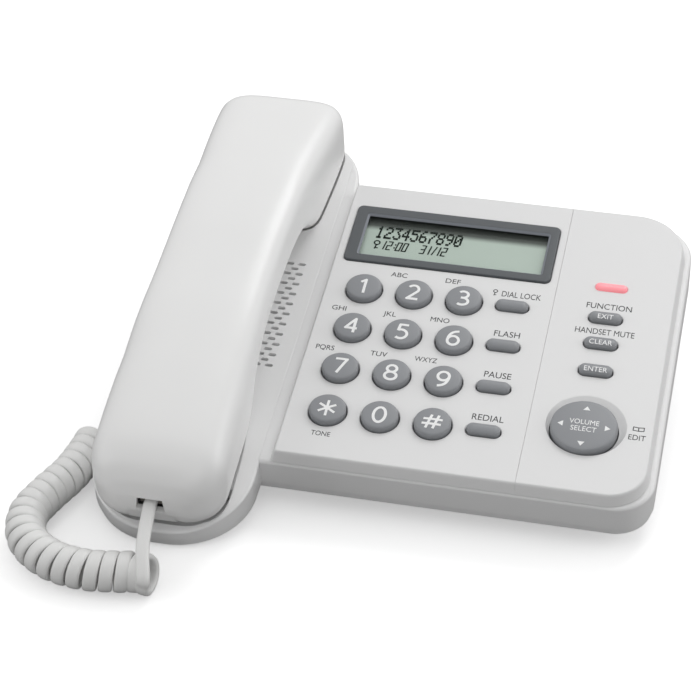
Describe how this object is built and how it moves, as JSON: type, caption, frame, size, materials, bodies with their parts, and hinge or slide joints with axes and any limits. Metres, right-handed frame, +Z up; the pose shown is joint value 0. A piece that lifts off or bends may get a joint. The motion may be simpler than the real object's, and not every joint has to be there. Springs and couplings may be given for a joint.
{
  "type": "corded desk telephone",
  "caption": "Corded landline desk telephone with a lift-off handset in a side cradle, coiled cord, tilted keypad and function panel, small display and rear desk stand.",
  "frame": {"origin": "centre of the footprint box of the phone and its cord, at desk level, the underside of the rubber feet", "axes": "+X to the right as seen by the user, +Y away from the user, +Z up; the keypad face slopes 11.6 degrees up towards +Y"},
  "size_m": [0.2218, 0.2418, 0.0776],
  "materials": {
    "housing_white": "satin moulded",
    "panel_white": "satin moulded",
    "handset_white": "satin moulded",
    "key_grey": "matte",
    "bezel_grey": "satin",
    "display_window": "clear",
    "display_module": "satin",
    "lamp_red": "translucent gloss",
    "membrane_silicone": "matte",
    "circuit_board": "lacquered",
    "dark_plastic": "matte",
    "battery_skin": "printed film",
    "foot_rubber": "matte",
    "bare_steel": "zinc plated",
    "clear_plug": "clear",
    "cord_white": "satin vinyl"
  },
  "bodies": {
    "base": {"upper_housing": "housing_white", "lower_housing": "housing_white", "keypad_panel": "panel_white", "function_panel": "panel_white", "lcd_bezel": "bezel_grey", "lcd_window": "display_window", "lcd_module": "display_module", "ringer_lamp": "lamp_red", "keypad_membrane": "membrane_silicone", "function_membrane": "membrane_silicone", "main_circuit_board": "circuit_board", "base_speaker": "dark_plastic", "hook_switch": "dark_plastic", "base_handset_jack": "dark_plastic", "line_jack": "dark_plastic", "handset_hook": "housing_white", "battery_1": "battery_skin", "battery_2": "battery_skin", "battery_3": "battery_skin", "housing_screw_1": "bare_steel", "housing_screw_2": "bare_steel", "housing_screw_3": "bare_steel", "base_cord_plug": "clear_plug", "foot_front_left": "foot_rubber", "foot_front_right": "foot_rubber", "coiled_cord": "cord_white"},
    "handset": {"handset_top_shell": "handset_white", "handset_bottom_shell": "handset_white", "microphone": "dark_plastic", "receiver_capsule": "dark_plastic", "handset_weight": "bare_steel", "handset_jack": "dark_plastic", "handset_cord_plug": "clear_plug"},
    "key_1": {"key_1": "key_grey"},
    "key_2": {"key_2": "key_grey"},
    "key_3": {"key_3": "key_grey"},
    "key_4": {"key_4": "key_grey"},
    "key_5": {"key_5": "key_grey"},
    "key_6": {"key_6": "key_grey"},
    "key_7": {"key_7": "key_grey"},
    "key_8": {"key_8": "key_grey"},
    "key_9": {"key_9": "key_grey"},
    "key_star": {"key_star": "key_grey"},
    "key_0": {"key_0": "key_grey"},
    "key_hash": {"key_hash": "key_grey"},
    "dial_lock_key": {"dial_lock_key": "key_grey"},
    "flash_key": {"flash_key": "key_grey"},
    "pause_key": {"pause_key": "key_grey"},
    "redial_key": {"redial_key": "key_grey"},
    "exit_key": {"exit_key": "key_grey"},
    "clear_key": {"clear_key": "key_grey"},
    "enter_key": {"enter_key": "key_grey"},
    "navigator_hub": {"navigator_hub": "dark_plastic"},
    "navigator_key": {"navigator_key": "key_grey"},
    "hookswitch_plunger": {"hookswitch_plunger": "housing_white"},
    "battery_door": {"battery_door": "housing_white"},
    "desk_stand": {"desk_stand": "housing_white", "foot_rear_left": "foot_rubber", "foot_rear_right": "foot_rubber"}
  },
  "joints": [
    {"name": "handset_lift", "type": "slide", "parent": "base", "child": "handset", "axis": [0, -0.2011, 0.9796], "range_m": [0, 0.12], "deforming": ["coiled_cord"]},
    {"name": "hookswitch_travel", "type": "slide", "parent": "base", "child": "hookswitch_plunger", "axis": [0, -0.2011, 0.9796], "range_m": [0, 0.004]},
    {"name": "key_1_press", "type": "slide", "parent": "base", "child": "key_1", "axis": [0, 0.2011, -0.9796], "range_m": [0, 0.0015], "stiffness_N_per_m": 300},
    {"name": "key_2_press", "type": "slide", "parent": "base", "child": "key_2", "axis": [0, 0.2011, -0.9796], "range_m": [0, 0.0015], "stiffness_N_per_m": 300},
    {"name": "key_3_press", "type": "slide", "parent": "base", "child": "key_3", "axis": [0, 0.2011, -0.9796], "range_m": [0, 0.0015], "stiffness_N_per_m": 300},
    {"name": "key_4_press", "type": "slide", "parent": "base", "child": "key_4", "axis": [0, 0.2011, -0.9796], "range_m": [0, 0.0015], "stiffness_N_per_m": 300},
    {"name": "key_5_press", "type": "slide", "parent": "base", "child": "key_5", "axis": [0, 0.2011, -0.9796], "range_m": [0, 0.0015], "stiffness_N_per_m": 300},
    {"name": "key_6_press", "type": "slide", "parent": "base", "child": "key_6", "axis": [0, 0.2011, -0.9796], "range_m": [0, 0.0015], "stiffness_N_per_m": 300},
    {"name": "key_7_press", "type": "slide", "parent": "base", "child": "key_7", "axis": [0, 0.2011, -0.9796], "range_m": [0, 0.0015], "stiffness_N_per_m": 300},
    {"name": "key_8_press", "type": "slide", "parent": "base", "child": "key_8", "axis": [0, 0.2011, -0.9796], "range_m": [0, 0.0015], "stiffness_N_per_m": 300},
    {"name": "key_9_press", "type": "slide", "parent": "base", "child": "key_9", "axis": [0, 0.2011, -0.9796], "range_m": [0, 0.0015], "stiffness_N_per_m": 300},
    {"name": "key_star_press", "type": "slide", "parent": "base", "child": "key_star", "axis": [0, 0.2011, -0.9796], "range_m": [0, 0.0015], "stiffness_N_per_m": 300},
    {"name": "key_0_press", "type": "slide", "parent": "base", "child": "key_0", "axis": [0, 0.2011, -0.9796], "range_m": [0, 0.0015], "stiffness_N_per_m": 300},
    {"name": "key_hash_press", "type": "slide", "parent": "base", "child": "key_hash", "axis": [0, 0.2011, -0.9796], "range_m": [0, 0.0015], "stiffness_N_per_m": 300},
    {"name": "dial_lock_key_press", "type": "slide", "parent": "base", "child": "dial_lock_key", "axis": [0, 0.2011, -0.9796], "range_m": [0, 0.0015], "stiffness_N_per_m": 300},
    {"name": "flash_key_press", "type": "slide", "parent": "base", "child": "flash_key", "axis": [0, 0.2011, -0.9796], "range_m": [0, 0.0015], "stiffness_N_per_m": 300},
    {"name": "pause_key_press", "type": "slide", "parent": "base", "child": "pause_key", "axis": [0, 0.2011, -0.9796], "range_m": [0, 0.0015], "stiffness_N_per_m": 300},
    {"name": "redial_key_press", "type": "slide", "parent": "base", "child": "redial_key", "axis": [0, 0.2011, -0.9796], "range_m": [0, 0.0015], "stiffness_N_per_m": 300},
    {"name": "exit_key_press", "type": "slide", "parent": "base", "child": "exit_key", "axis": [0, 0.2011, -0.9796], "range_m": [0, 0.0015], "stiffness_N_per_m": 300},
    {"name": "clear_key_press", "type": "slide", "parent": "base", "child": "clear_key", "axis": [0, 0.2011, -0.9796], "range_m": [0, 0.0015], "stiffness_N_per_m": 300},
    {"name": "enter_key_press", "type": "slide", "parent": "base", "child": "enter_key", "axis": [0, 0.2011, -0.9796], "range_m": [0, 0.0015], "stiffness_N_per_m": 300},
    {"name": "navigator_pitch", "type": "hinge", "parent": "base", "child": "navigator_hub", "pos_m": [0.08327, -0.02441, 0.02993], "axis": [1, 0, 0], "range_deg": [-3, 3], "stiffness_Nm_per_rad": 0.05},
    {"name": "navigator_roll", "type": "hinge", "parent": "navigator_hub", "child": "navigator_key", "pos_m": [0.08327, -0.02441, 0.02993], "axis": [0, 0.9796, 0.2011], "range_deg": [-3, 3], "stiffness_Nm_per_rad": 0.05},
    {"name": "battery_door_release", "type": "slide", "parent": "base", "child": "battery_door", "axis": [0, 0.2011, -0.9796], "range_m": [0, 0.04]},
    {"name": "desk_stand_release", "type": "slide", "parent": "base", "child": "desk_stand", "axis": [0, 0.2011, -0.9796], "range_m": [0, 0.04]}
  ],
  "couplings": [
    {"joint": "hookswitch_travel", "follows": "handset_lift", "ratio": 0.0333}
  ]
}
